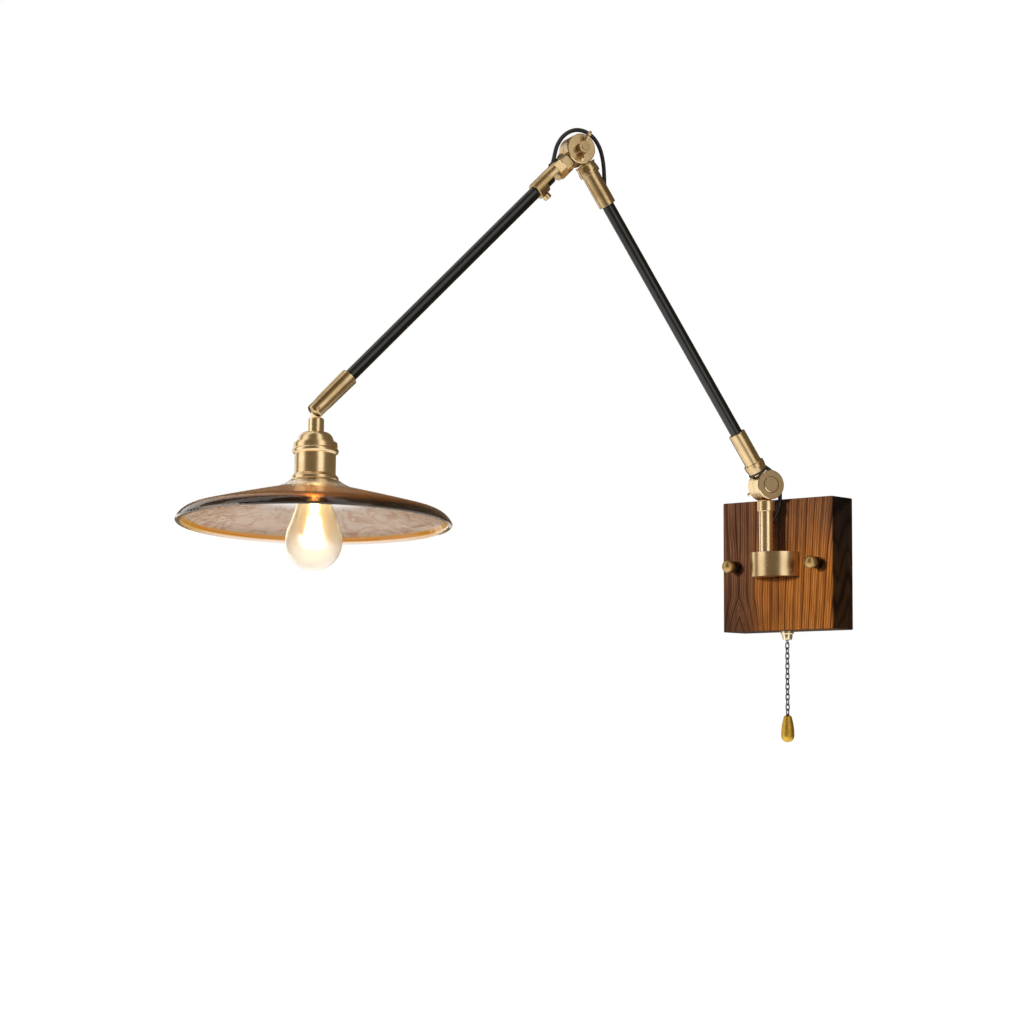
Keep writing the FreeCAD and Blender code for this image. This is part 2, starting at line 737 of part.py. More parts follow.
# Wrist: tapered sleeve that ends in a slotted fork, with the tongue of the lamp's stem on a pin
def make_wrist():
    back = -fork_length
    round_start = fork_past_pivot - fork_tip_round
    diagonal = fork_tip_round * math.sqrt(0.5)
    fork = along_x(turned(
        (0, back + fork_tube_depth), (tube_radius + thread_gap, back + fork_tube_depth),
        (tube_radius + thread_gap, back), (fork_radius - edge_break, back), (fork_radius, back + edge_break),
        (fork_tip_radius, round_start),
        (fork_tip_radius - fork_tip_round + diagonal, round_start + diagonal,
         fork_tip_radius - fork_tip_round, fork_past_pivot), (0, fork_past_pivot)))
    bore = rod(fork_bore_radius, V(back, 0, 0), V(-fork_bore_end, 0, 0))
    half_slot = tongue_thickness / 2 + tongue_gap
    far = 2 * fork_radius
    slot = block((-fork_slot_depth, -half_slot, -far), (far, half_slot, far))
    pin_hole = rod(wrist_pin_radius + thread_gap, V(0, -far, 0), V(0, far, 0))
    keep("wrist_fork", fork.cut([bore, slot, pin_hole]), FORK)
    pin_half = fork_tip_radius - wrist_pin_recess
    keep("wrist_pin", rod(wrist_pin_radius, V(0, -pin_half, 0), V(0, pin_half, 0)), FORK)
    half = tongue_thickness / 2
    tongue = rod(tongue_radius, V(0, -half, 0), V(0, half, 0))
    web = block((-tongue_radius, -half, -stem_top - stem_round), (tongue_radius, half, 0))
    stem = turned(
        (0, -stem_bottom), (stem_radius, -stem_bottom), (stem_radius, -stem_top - stem_round),
        (stem_radius - stem_round, -stem_top), (0, -stem_top))
    hole = rod(wrist_pin_radius + running_gap, V(0, -far, 0), V(0, far, 0))
    wire_bore = rod(stem_bore_radius, V(0, 0, -stem_bottom), V(0, 0, stem_bore_depth - stem_bottom))
    keep("head_stem", stem.fuse([tongue, web]).cut([hole, wire_bore]), HEAD)


# Socket: domed cap, beaded shell with a flange and a thread, ring that clamps the glass
def make_socket():
    dome_top = (stem_radius, -stem_bottom)
    dome_end = (cap_dome_radius, -cap_dome_bottom)
    bead = cap_ring_radius - cap_ring_bead
    bore = shell_radius - shell_wall
    cap = turned(
        (stem_bore_radius, -stem_bottom), dome_top, between(dome_top, dome_end, cap_dome_bulge) + dome_end,
        (cap_step_radius, -cap_ring_top), (bead, -cap_ring_top),
        (cap_ring_radius, -(cap_ring_top + cap_ring_bottom) / 2, bead, -cap_ring_bottom),
        (bore, -cap_ring_bottom), (bore, -cap_ring_top - cap_lip), (cap_inner_radius, -cap_inner_top),
        (stem_bore_radius, -stem_bottom - cap_roof))
    keep("socket_cap", cap, HEAD)
    bead = shell_bead_radius - shell_bead
    bead_bottom = shell_bead_bottom - shell_bead
    shell = turned(
        (bore, -cap_ring_bottom), (bead, -cap_ring_bottom),
        (shell_bead_radius, -(cap_ring_bottom + bead_bottom) / 2, bead, -bead_bottom),
        (shell_radius, -shell_bead_bottom), (shell_radius, -shell_bottom),
        (flange_radius - flange_edge, -shell_bottom - flange_step), (flange_radius, -flange_top),
        (flange_radius, -flange_bottom + flange_edge), (flange_radius - flange_edge, -flange_bottom),
        (shell_thread_radius, -flange_bottom), (shell_thread_radius, -shell_thread_bottom),
        (bore, -shell_thread_bottom))
    keep("socket_shell", shell, HEAD)
    ring_top = -flange_bottom - shade_glass
    ring_low = ring_top - shade_ring_height
    thread = shell_thread_radius + thread_gap
    ring = turned(
        (thread, ring_top), (shade_ring_radius, ring_top), (shade_ring_radius, ring_low + shade_ring_chamfer),
        (shade_ring_radius - shade_ring_chamfer, ring_low), (thread, ring_low))
    keep("shade_ring", ring, HEAD)


def make_lamp_holder():
    shell_seat = screw_shell_radius
    holder = turned(
        (0, -holder_top), (holder_radius, -holder_top), (holder_radius, -holder_bottom),
        (shell_seat, -holder_bottom), (shell_seat, -holder_floor), (0, -holder_floor))
    keep("lamp_holder", holder, HEAD)
    inner = screw_shell_radius - thread_gap
    low = -bulb_base_bottom + screw_shell_above
    shell = tube(inner, inner - screw_shell_wall, V(0, 0, -holder_floor), V(0, 0, low))
    keep("screw_shell", shell, HEAD)
    contact = turned(
        (0, -holder_floor), (contact_radius, -holder_floor),
        (contact_radius, -holder_floor - contact_height / 2),
        (contact_radius - contact_chamfer, -holder_floor - contact_height),
        (0, -holder_floor - contact_height))
    keep("centre_contact", contact, HEAD)


# Bulb: screw base, pear-shaped glass and upright filaments on a glass stem
def make_bulb():
    tip_top = -holder_floor - contact_height
    base = turned(
        (0, tip_top), (bulb_tip_radius, tip_top), (bulb_base_radius, -bulb_base_top),
        (bulb_base_radius, -bulb_base_bottom), (0, -bulb_base_bottom))
    keep("bulb_base", base, HEAD)
    outer = bulb_outline(0)
    inner = bulb_outline(bulb_glass_wall)
    keep("bulb_glass", outer.cut(inner), HEAD)
    stem = turned(
        (0, -bulb_base_bottom), (filament_stem_radius + filament_stem_flare, -bulb_base_bottom),
        (filament_stem_radius, -bulb_base_bottom - filament_flare_length),
        (filament_stem_radius - filament_stem_taper, -filament_top), (0, -filament_top))
    crown_radius = filament_ring_radius / 2
    crown_at = V(0, 0, -filament_top)
    foot_at = V(0, 0, -filament_bottom)
    plate = V(0, 0, filament_plate)
    edge = filament_wire_radius + filament_plate_edge
    crown = rod(crown_radius + edge, crown_at, crown_at - plate)
    foot = tube(filament_ring_radius + edge, filament_ring_radius - edge, foot_at, foot_at + plate)
    parts = [crown, foot]
    for i in range(filament_count):
        angle = 2 * math.pi * i / filament_count
        out = V(math.cos(angle), math.sin(angle), 0)
        top = crown_at - plate * 0.5 + out * crown_radius
        parts.append(rod(filament_wire_radius, top, foot_at + plate * 0.5 + out * filament_ring_radius))
    keep("bulb_filament", stem.fuse(parts), HEAD)


def bulb_outline(inset):
    """The bulb's pear shape: a round end, a flank and a neck, as a solid inset by the glass wall."""
    wide = bulb_radius - inset
    diagonal = wide * math.sqrt(0.5)
    neck_top = (bulb_base_radius - inset, -bulb_base_bottom)
    neck = (neck_top[0], -bulb_base_bottom - bulb_neck_length)
    flank = (wide - bulb_flank_inset, -bulb_centre + bulb_flank_rise)
    cheek = (wide, -bulb_centre)
    return turned(
        (0, -bulb_base_bottom), neck_top, neck, between(neck, flank, -bulb_flank_hollow) + flank,
        between(flank, cheek, bulb_cheek_bulge) + cheek,
        (diagonal, -bulb_centre - diagonal, 0, -bulb_centre - wide))


def make_glass_shade():
    """Flat seat round the hole, a flared neck, a gentle slope and a rim that turns down to a rounded bead."""
    top = -flange_bottom
    rim = -shade_rim_level
    hole = shell_thread_radius + shade_hole_gap
    seat = (shade_seat_radius, top)
    neck = (shade_neck_radius, top - shade_neck_drop)
    slope = (shade_slope_radius, top - shade_slope_drop)
    edge = (shade_radius, rim + shade_bead_radius)
    flare_mid = between(seat, neck, -shade_neck_flare)
    slope_mid = between(neck, slope, shade_slope_crown)
    bend_mid = between(slope, edge, shade_rim_bulge)
    inner_edge = (shade_radius - 2 * shade_bead_radius, rim + shade_bead_radius)
    under_slope = lowered(slope)
    under_bend = between(under_slope, inner_edge, shade_rim_bulge)
    shade = turned(
        (hole, top), seat, flare_mid + neck, slope_mid + slope, bend_mid + edge,
        (shade_radius - shade_bead_radius, rim) + inner_edge, under_bend + under_slope,
        lowered(slope_mid) + lowered(neck), lowered(flare_mid) + lowered(seat), (hole, top - shade_glass))
    keep("glass_shade", shade, HEAD)


def lowered(point):
    return (point[0], point[1] - shade_glass)


# Pull switch in the block, its bell outside, and the plunger that the chain hangs from
def make_switch():
    floor = -block_half + block_end_wall
    centre = V(0, -switch_standoff, 0)
    back = min(-cavity_depth + loose_gap, -switch_standoff - switch_neck_radius)
    body = block(
        (-switch_width / 2, back, floor), (switch_width / 2, back + switch_depth, floor + switch_height))
    upright = [e for e in body.Edges if e.BoundBox.ZLength > switch_height - same_place]
    body = body.makeFillet(switch_round, upright)
    neck_low = -block_half - bell_flange
    neck = rod(switch_neck_radius, centre + V(0, 0, floor), centre + V(0, 0, neck_low))
    bore_top = neck_low + block_end_wall + bell_flange + plunger_above + plunger_room
    bore = rod(switch_neck_bore, centre + V(0, 0, neck_low), centre + V(0, 0, bore_top))
    keep("pull_switch", body.fuse(neck).cut(bore))
    step = (bell_radius - bell_step, neck_low - bell_step_drop)
    mouth = (bell_mouth_radius, -block_half - bell_length)
    thread = switch_neck_radius + thread_gap
    bell = turned(
        (thread, -block_half), (bell_radius, -block_half), (bell_radius, neck_low), step,
        between(step, mouth, bell_bulge) + mouth, (bell_mouth_bore, mouth[1]), (bell_mouth_bore, neck_low),
        (thread, neck_low))
    keep("switch_bell", bell, Placement(centre, Rotation()))
    eye_centre = -block_half - eye_level
    rod_low = eye_centre + eye_radius
    stalk = rod(plunger_radius, centre + V(0, 0, rod_low), centre + V(0, 0, floor + plunger_above))
    eye = Part.makeTorus(eye_radius, eye_wire_radius, V(0, -switch_standoff, eye_centre), V(1, 0, 0))
    keep("switch_plunger", stalk.fuse(eye))


def chain_link():
    """One oval link in the XZ plane about the origin, bent from round wire."""
    bend = link_inner_width / 2 + link_wire_radius
    straight = link_inner_length / 2 - link_inner_width / 2
    path = Part.Wire([
        Part.makeLine(V(bend, 0, -straight), V(bend, 0, straight)),
        Part.Arc(V(bend, 0, straight), V(0, 0, straight + bend), V(-bend, 0, straight)).toShape(),
        Part.makeLine(V(-bend, 0, straight), V(-bend, 0, -straight)),
        Part.Arc(V(-bend, 0, -straight), V(0, 0, -straight - bend), V(bend, 0, -straight)).toShape()])
    section = Part.Wire(Part.makeCircle(link_wire_radius, V(bend, 0, -straight), V(0, 0, 1)))
    return path.makePipeShell([section], True, False)


def make_chain():
    link_pitch = link_inner_length - link_slack
    eye_wire = -block_half - eye_level - eye_radius
    first = eye_wire + eye_wire_radius + link_slack - link_inner_length / 2
    links = []
    for i in range(chain_links):
        at = Placement(V(0, -switch_standoff, first - i * link_pitch), Rotation(V(0, 0, 1), 90 * (i % 2)))
        links.append(moved(chain_link(), at))
    keep("pull_chain", links)
    last = first - (chain_links - 1) * link_pitch
    bar_level = last - link_inner_length / 2 + link_wire_radius + link_slack
    top = bar_level + pendant_bore_depth / 2
    belly = (pendant_radius, top - pendant_belly)
    edge = (pendant_top_radius, top - pendant_chamfer)
    diagonal = pendant_radius * math.sqrt(0.5)
    pendant = turned(
        (0, top), (pendant_top_radius - pendant_chamfer, top), edge,
        between(edge, belly, pendant_bulge) + belly,
        (diagonal, belly[1] - diagonal, 0, belly[1] - pendant_radius))
    pendant = pendant.cut(rod(pendant_bore_radius, V(0, 0, top), V(0, 0, top - pendant_bore_depth)))
    across = V(0, 1, 0) if chain_links % 2 else V(1, 0, 0)
    reach = pendant_bore_radius + pendant_bar_seat
    bar = rod(link_wire_radius, V(0, 0, bar_level) - across * reach, V(0, 0, bar_level) + across * reach)
    keep("chain_pendant", pendant.fuse(bar), Placement(V(0, -switch_standoff, 0), Rotation()))


# Cord, from the terminal block up the post, out behind the shoulder and round the elbow in two free loops
def in_arm(frame, points):
    """Points out along the arm, to its right side and up, in the lamp's own frame."""
    return [frame.multVec(V(*point)) for point in points]


def make_cords():
    feed = [V(0, y, z) for y, z in FEED_ROUTE]
    keep("feed_cord", cord_tube("feed_cord", feed))
    pivot = POST.multiply(Placement(V(0, 0, shoulder_height), Rotation()))
    keep("shoulder_cord_loop", cord_tube("shoulder_cord_loop", in_arm(pivot, SHOULDER_ROUTE)))
    elbow = Placement(ELBOW.Base, POST.Rotation)
    keep("elbow_cord_loop", cord_tube("elbow_cord_loop", in_arm(elbow, ELBOW_ROUTE)))
    lower = [SHOULDER.inverse().multVec(p) for p in (in_arm(pivot, SHOULDER_ROUTE[:1])[0],
                                                      in_arm(elbow, ELBOW_ROUTE[:1])[0])]
    keep("lower_arm_cord", rod(cord_radius, lower[0], lower[1]), SHOULDER)
    upper_start = ELBOW.inverse().multVec(in_arm(elbow, ELBOW_ROUTE[-1:])[0])
    upper_end = V(upper_arm_length - fork_bore_end, 0, 0)
    keep("upper_arm_cord", rod(cord_radius, upper_start, upper_end), ELBOW)


# Routes chosen by hand. The feed's points are (y, z). The loops' points are out, to the right and up from
# their pivots.
FEED_ROUTE = [(-54.5, 15.6), (-54.5, 1.5), (-45.5, -6.5), (-30.0, -7.0), (-14.0, -7.0)]
SHOULDER_ROUTE = [
    (37.92, 0, 58.84), (29.25, 0, 45.39), (10.8, -9.0, 33.4), (2.0, -9.6, 22.6), (-10.0, -8.0, 16.2),
    (-17.6, -6.0, 5.0), (-17.6, -3.5, -6.0), (-15.6, 0, -16.5), (-12.4, 0, -26.0), (-7.6, 0, -35.0),
    (-1.4, 0, -43.6), (0, 0, -53.0), (0, 0, -62.0)]
ELBOW_ROUTE = [
    (-37.92, 0, -58.84), (-29.25, 0, -45.39), (-28.8, 0, -26.1), (-28.0, 0, -9.5), (-24.0, 0, 6.5),
    (-14.2, 0, 18.0), (0, 0, 21.5), (13.0, 0, 15.5), (21.5, 0, 3.5), (24.5, 0, -10.5), (29.6, 0, -29.8),
    (40.87, 0, -41.16)]

make_wood_block()
make_wall_bracket()
make_studs_and_ball_nuts()
make_terminal_block()
make_swivel_drum()
make_drum_screws()
make_post()
make_post_knuckle()
make_lower_arm()
make_upper_arm()
make_wrist()
make_socket()
make_lamp_holder()
make_bulb()
make_glass_shade()
make_switch()
make_chain()
make_cords()

os.makedirs("parts", exist_ok=True)
for name, shape in NODES.items():
    shape.exportStep("parts/" + name + ".step")
    if not shape.isValid() or any(solid.Volume <= 0 for solid in shape.Solids):
        print("not sound:", name)
print(len(NODES), "pieces")
for name, place in (("post", POST), ("shoulder", SHOULDER), ("elbow", ELBOW), ("wrist", FORK)):
    spot = place.Base
    axis = place.Rotation.multVec(V(0, 1, 0))
    print(name, [round(c, 3) for c in spot], "axis", [round(c, 5) for c in axis])
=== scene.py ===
# %% [markdown]
# A swing arm wall lamp, dressed for the camera. The lamp's solids come from an imported frame, each in its
# place. This lesson adds what the solids lack: a camera, the cords, glass and finishes. Everything is in
# metres. The wall is the plane y = 0 and the room is at -Y.

# %% Load the frame
import json
import math

import bpy
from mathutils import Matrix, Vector


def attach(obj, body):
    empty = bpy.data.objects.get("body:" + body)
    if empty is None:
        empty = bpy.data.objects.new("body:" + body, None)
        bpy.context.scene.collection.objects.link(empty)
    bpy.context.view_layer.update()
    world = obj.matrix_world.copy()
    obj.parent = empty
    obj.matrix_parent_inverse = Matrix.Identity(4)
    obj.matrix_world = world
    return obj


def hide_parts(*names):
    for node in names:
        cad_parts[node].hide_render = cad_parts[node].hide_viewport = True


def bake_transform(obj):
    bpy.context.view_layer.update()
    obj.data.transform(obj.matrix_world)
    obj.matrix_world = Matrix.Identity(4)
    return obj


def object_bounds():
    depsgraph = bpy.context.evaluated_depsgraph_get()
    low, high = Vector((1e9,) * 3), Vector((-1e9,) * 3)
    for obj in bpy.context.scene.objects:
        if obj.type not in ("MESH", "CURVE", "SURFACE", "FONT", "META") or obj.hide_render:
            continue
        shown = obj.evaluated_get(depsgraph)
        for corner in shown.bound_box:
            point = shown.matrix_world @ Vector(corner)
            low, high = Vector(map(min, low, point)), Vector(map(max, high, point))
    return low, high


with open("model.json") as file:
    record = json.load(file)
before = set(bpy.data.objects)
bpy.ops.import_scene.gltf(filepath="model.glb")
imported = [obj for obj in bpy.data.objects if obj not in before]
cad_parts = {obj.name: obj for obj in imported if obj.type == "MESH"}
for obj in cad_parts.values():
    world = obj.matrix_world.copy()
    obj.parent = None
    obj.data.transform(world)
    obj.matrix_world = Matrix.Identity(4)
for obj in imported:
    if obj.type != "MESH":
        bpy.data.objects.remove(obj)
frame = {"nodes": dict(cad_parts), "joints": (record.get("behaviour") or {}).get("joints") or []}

nodes = frame["nodes"]
joint_place = {j["name"]: Vector(j["pos_m"]) for j in frame["joints"] if "pos_m" in j}
cad_low, cad_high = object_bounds()
print("pieces", len(nodes), "size", [round(c, 3) for c in cad_high - cad_low])

# %% [markdown]
# The camera stands low and to the right of the lamp and looks up a little. Upright edges have to stay
# upright, which a lens shift gives without tilting the camera. A part of the rise is a small tilt here,
# because a large shift would push the lamp out of the middle when it is seen from other sides.

# %% Camera
CAMERA_PLACE = (1.4149, -2.1272, -0.1811)
CAMERA_YAW = 40.051
CAMERA_TILT = 3.012
CAMERA_LENS = 89.302
CAMERA_RISE = 0.1
SENSOR_WIDTH = 36

camera_data = bpy.data.cameras.new("camera")
camera_data.sensor_width = SENSOR_WIDTH
camera_data.lens = CAMERA_LENS
camera_data.shift_y = CAMERA_RISE
camera = bpy.data.objects.new("camera", camera_data)
camera.location = CAMERA_PLACE
camera.rotation_euler = (math.radians(90 + CAMERA_TILT), 0, math.radians(CAMERA_YAW))
scene = bpy.context.scene
scene.collection.objects.link(camera)
scene.camera = camera
print("camera", CAMERA_PLACE, "lens", CAMERA_LENS)

# %% [markdown]
# A material here is a Principled shader with a few texture nodes in front of it. Small helpers keep each
# recipe short: new_material hands back a material and its shader, add puts in a node and fills its sockets,
# and the rest stand for the nodes that most recipes use. An input that is another node's output is linked,
# and any other input is set as a constant.


# %% Helpers for materials
def new_material(name):
    material = bpy.data.materials.new(name)
    material.use_nodes = True
    return material, material.node_tree.nodes["Principled BSDF"]


def fill(node, inputs):
    """Sets a node's inputs by name or number: an output is linked and a value is written on the socket."""
    for key, value in inputs.items():
        if isinstance(value, bpy.types.NodeSocket):
            node.id_data.links.new(value, node.inputs[key])
        else:
            node.inputs[key].default_value = value
    return node


def add(material, kind, inputs=None, **settings):
    """Adds a node of a kind, such as TexNoise, to a material."""
    node = material.node_tree.nodes.new("ShaderNode" + kind)
    for key, value in settings.items():
        setattr(node, key, value)
    return fill(node, inputs or {})


def ramp(material, factor, *stops):
    """A colour ramp of (place, colour) stops, and its colour output."""
    node = add(material, "ValToRGB", {"Fac": factor})
    elements = node.color_ramp.elements
    while len(elements) < len(stops):
        elements.new(1.0)
    for element, (place, colour) in zip(elements, stops):
        element.position = place
        element.color = (*colour, 1)
    return node.outputs["Color"]


def stretched(material, scale, turn=(0, 0, 0)):
    """The lamp's own coordinates, turned and then scaled along each axis."""
    place = add(material, "TexCoord").outputs["Object"]
    rotated = add(material, "Mapping", {"Vector": place, "Rotation": turn}).outputs["Vector"]
    return add(material, "Mapping", {"Vector": rotated, "Scale": scale}).outputs["Vector"]


def noise(material, vector, scale=1.0, detail=3.0, roughness=0.5):
    """A noise texture's grey value."""
    inputs = {"Vector": vector, "Scale": scale, "Detail": detail, "Roughness": roughness}
    return add(material, "TexNoise", inputs).outputs["Fac"]


def smooth_step(material, value, low, high):
    """Nothing at low and one at high, with a soft start and end."""
    inputs = {"Value": value, "From Min": low, "From Max": high}
    return add(material, "MapRange", inputs, interpolation_type="SMOOTHSTEP").outputs["Result"]


def spread(material, value, low, high):
    """Takes the middle of a noise value's range to a range from low to high."""
    inputs = {"Value": value, "From Min": 0.3, "From Max": 0.7, "To Min": low, "To Max": high}
    return add(material, "MapRange", inputs).outputs["Result"]


def math_of(material, operation, a, b=0.0):
    return add(material, "Math", {0: a, 1: b}, operation=operation).outputs["Value"]


def blend_colours(material, factor, a, b, mode="MIX"):
    node = add(material, "Mix", data_type="RGBA", blend_type=mode)
    fill(node, {0: factor, 6: a, 7: b})
    return node.outputs[2]


def bump(material, height, distance, strength):
    inputs = {"Height": height, "Distance": distance, "Strength": strength}
    return add(material, "Bump", inputs).outputs["Normal"]


def paint(material, *names):
    """Gives a material to CAD nodes."""
    for name in names:
        mesh = nodes[name].data
        mesh.materials.clear()
        mesh.materials.append(material)


def grey(value):
    return (value, value, value)


# %% [markdown]
# The cord shows twice, as a free loop behind the shoulder and as one over the elbow. Its feed is hidden in
# the drum, and two straight leads are hidden in the arms. Each tube is a curve with a bevel, made into a
# mesh, and the points of its spline give its length.

# %% Cord routes
CORD_DIAMETER = 0.004
CORD_STEPS = 10
CORD_ROUNDING = 5
shoulder = joint_place["shoulder_tilt"]
elbow = joint_place["elbow_tilt"]
wrist = joint_place["head_tilt"]
UP = Vector((0, 0, 1))
OUT = ((elbow - shoulder) * Vector((1, 1, 0))).normalized()
SIDE = UP.cross(OUT)

# The feed is in the plane x = 0, as (y, z), and each loop is about its joint, as (out, side, up)
FEED_ROUTE = [
    (-0.0545, 0.0156), (-0.0545, 0.0015), (-0.0455, -0.0065), (-0.0300, -0.0070), (-0.0140, -0.0070)]
SHOULDER_ROUTE = [
    (0.03792, 0.0, 0.05884), (0.02925, 0.0, 0.04539), (0.0108, -0.0090, 0.0334), (0.0020, -0.0096, 0.0226),
    (-0.0100, -0.0080, 0.0162), (-0.0176, -0.0060, 0.0050), (-0.0176, -0.0035, -0.0060),
    (-0.0156, 0.0, -0.0165), (-0.0124, 0.0, -0.0260), (-0.0076, 0.0, -0.0350), (-0.0014, 0.0, -0.0436),
    (0.0, 0.0, -0.0530), (0.0, 0.0, -0.0620)]
ELBOW_ROUTE = [
    (-0.03792, 0.0, -0.05884), (-0.02925, 0.0, -0.04539), (-0.0288, 0.0, -0.0261), (-0.0280, 0.0, -0.0095),
    (-0.0240, 0.0, 0.0065), (-0.0142, 0.0, 0.0180), (0.0, 0.0, 0.0215), (0.0130, 0.0, 0.0155),
    (0.0215, 0.0, 0.0035), (0.0245, 0.0, -0.0105), (0.0296, 0.0, -0.0298), (0.04087, 0.0, -0.04116)]


def cord_tube(name, points):
    """A mesh tube on a smooth spline led by the route's points, and the points of the spline's own line."""
    curve = bpy.data.curves.new(name + "_route", "CURVE")
    curve.dimensions = "3D"
    curve.resolution_u = CORD_STEPS
    spline = curve.splines.new("NURBS")
    spline.points.add(len(points) - 1)
    for knot, point in zip(spline.points, points):
        knot.co = (*point, 1)
    spline.order_u = 3
    spline.use_endpoint_u = True
    route = bpy.data.objects.new(name + "_route", curve)
    scene.collection.objects.link(route)
    depsgraph = bpy.context.evaluated_depsgraph_get()
    line = bpy.data.meshes.new_from_object(route.evaluated_get(depsgraph))
    path = [v.co.copy() for v in line.vertices]
    curve.bevel_depth = CORD_DIAMETER / 2
    curve.bevel_resolution = CORD_ROUNDING
    curve.use_fill_caps = True
    depsgraph = bpy.context.evaluated_depsgraph_get()
    mesh = bpy.data.meshes.new_from_object(route.evaluated_get(depsgraph))
    bpy.data.objects.remove(route)
    for polygon in mesh.polygons:
        polygon.use_smooth = True
    tube = bpy.data.objects.new(name, mesh)
    scene.collection.objects.link(tube)
    return tube, path


def path_length(path):
    return sum((b - a).length for a, b in zip(path, path[1:]))


def about(pivot, points):
    return [pivot + OUT * out + SIDE * side + UP * up for out, side, up in points]


def arm_lead(arm, start, end):
    """The straight cord inside an arm's tube."""
    tube, path = cord_tube(arm + "_lead", [start, (start + end) / 2, end])
    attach(tube, arm)
    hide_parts(arm + "_cord")
    print(tube.name, "length", round(path_length(path), 4))
    return tube


# %% Cord pieces
FORK_BORE_END = 0.014

feed, feed_path = cord_tube("feed_lead", [Vector((0, y, z)) for y, z in FEED_ROUTE])
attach(feed, "wall_base")
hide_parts("feed_cord")
print(feed.name, "length", round(path_length(feed_path), 4))

lower_lead = arm_lead("lower_arm", about(shoulder, SHOULDER_ROUTE[:1])[0], about(elbow, ELBOW_ROUTE[:1])[0])
upper_end = wrist + (elbow - wrist).normalized() * FORK_BORE_END
upper_lead = arm_lead("upper_arm", about(elbow, ELBOW_ROUTE[-1:])[0], upper_end)

shoulder_loop, shoulder_path = cord_tube("shoulder_loop", about(shoulder, SHOULDER_ROUTE))
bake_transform(shoulder_loop)
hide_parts("shoulder_cord_loop")

elbow_loop, elbow_path = cord_tube("elbow_loop", about(elbow, ELBOW_ROUTE))
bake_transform(elbow_loop)
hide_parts("elbow_cord_loop")

# %% [markdown]
# Plain studio light: one key lamp in front of the wall block, a little to the left and above it, and a pale
# surround that fills the shadows. The white ground is what the camera, reflections and glass see of the
# surround. Polished metal in front of pure white has no shape, so a dome of dark cards stands round the
# lamp, as in a photographer's studio, and only reflections see it. Strip lights in its gaps make the bright
# streaks on the brass.

# %% Surround
AMBIENT = 0.18
AMBIENT_COLOUR = (1.0, 0.98, 0.95, 1)
world = bpy.data.worlds.new("studio")
scene.world = world
world.use_nodes = True
tree = world.node_tree
soft = tree.nodes["Background"]
soft.inputs["Color"].default_value = AMBIENT_COLOUR
soft.inputs["Strength"].default_value = AMBIENT


def shows_ground(tree):
    """One for camera, glossy and transmission rays, and nothing for the rest."""
    path = tree.nodes.new("ShaderNodeLightPath")
    first = tree.nodes.new("ShaderNodeMath")
    second = tree.nodes.new("ShaderNodeMath")
    first.operation = second.operation = "MAXIMUM"
    tree.links.new(path.outputs["Is Camera Ray"], first.inputs[0])
    tree.links.new(path.outputs["Is Glossy Ray"], first.inputs[1])
    tree.links.new(first.outputs[0], second.inputs[0])
    tree.links.new(path.outputs["Is Transmission Ray"], second.inputs[1])
    return second.outputs[0]


white = tree.nodes.new("ShaderNodeBackground")
white.inputs["Color"].default_value = (1, 1, 1, 1)
white.inputs["Strength"].default_value = 1.0
mixed = tree.nodes.new("ShaderNodeMixShader")
tree.links.new(shows_ground(tree), mixed.inputs[0])
tree.links.new(soft.outputs[0], mixed.inputs[1])
tree.links.new(white.outputs[0], mixed.inputs[2])
tree.links.new(mixed.outputs[0], tree.nodes["World Output"].inputs["Surface"])
scene.view_settings.view_transform = "Standard"

# %% Floor and cards
FLOOR_DROP = 1.0
FLOOR_SIDE = 60.0
FLOOR_SHADE = 0.45
FLOOR_GLOW = 0.94
CARD_RADIUS = 2.6
CARD_LOW = -70
CARD_HIGH = 82
CARD_TONE = 0.18
CARD_COLOUR = (1.0, 0.80, 0.53, 1)
CARD_STEP = 4
# Each strip light stands in a gap: its middle and width, in degrees round the lamp from in front towards +X
CARD_GAPS = [(-40, 40), (72, 30), (-96, 22)]
STRIP_LIGHT = 1.4
STRIP_COLOUR = (1.0, 0.98, 0.94, 1)


def flat_mesh(name, corners):
    """A stage piece of four-cornered faces."""
    mesh = bpy.data.meshes.new(name)
    points = [point for face in corners for point in face]
    faces = [range(i, i + 4) for i in range(0, len(points), 4)]
    mesh.from_pydata(points, [], faces)
    piece = bpy.data.objects.new(name, mesh)
    scene.collection.objects.link(piece)
    return piece


half = FLOOR_SIDE / 2
floor_z = cad_low.z - FLOOR_DROP
floor_corners = [(-half, -half), (half, -half), (half, half), (-half, half)]
floor = flat_mesh("floor", [[(x, y, floor_z) for x, y in floor_corners]])
pale, shader = new_material("pale_floor")
glow = math_of(pale, "MULTIPLY", shows_ground(pale.node_tree), FLOOR_GLOW)
fill(shader, {"Base Color": (*grey(FLOOR_SHADE), 1), "Roughness": 0.9, "Specular IOR Level": 0.0,
              "Emission Color": (1, 1, 1, 1), "Emission Strength": glow})
floor.data.materials.append(pale)

middle = (cad_low + cad_high) / 2


def card_point(angle, height):
    """A point of the dome, from its angles round the lamp and above the horizon."""
    turn, rise = math.radians(angle), math.radians(height)
    level = Vector((math.sin(turn), -math.cos(turn), 0))
    return middle + (level * math.cos(rise) + UP * math.sin(rise)) * CARD_RADIUS


def in_gap(angle):
    return any(abs((angle - centre + 180) % 360 - 180) < width / 2 for centre, width in CARD_GAPS)


def card_face(angle, height):
    corners = [(0, 0), (CARD_STEP, 0), (CARD_STEP, CARD_STEP), (0, CARD_STEP)]
    return [card_point(angle + turn, height + rise) for turn, rise in corners]


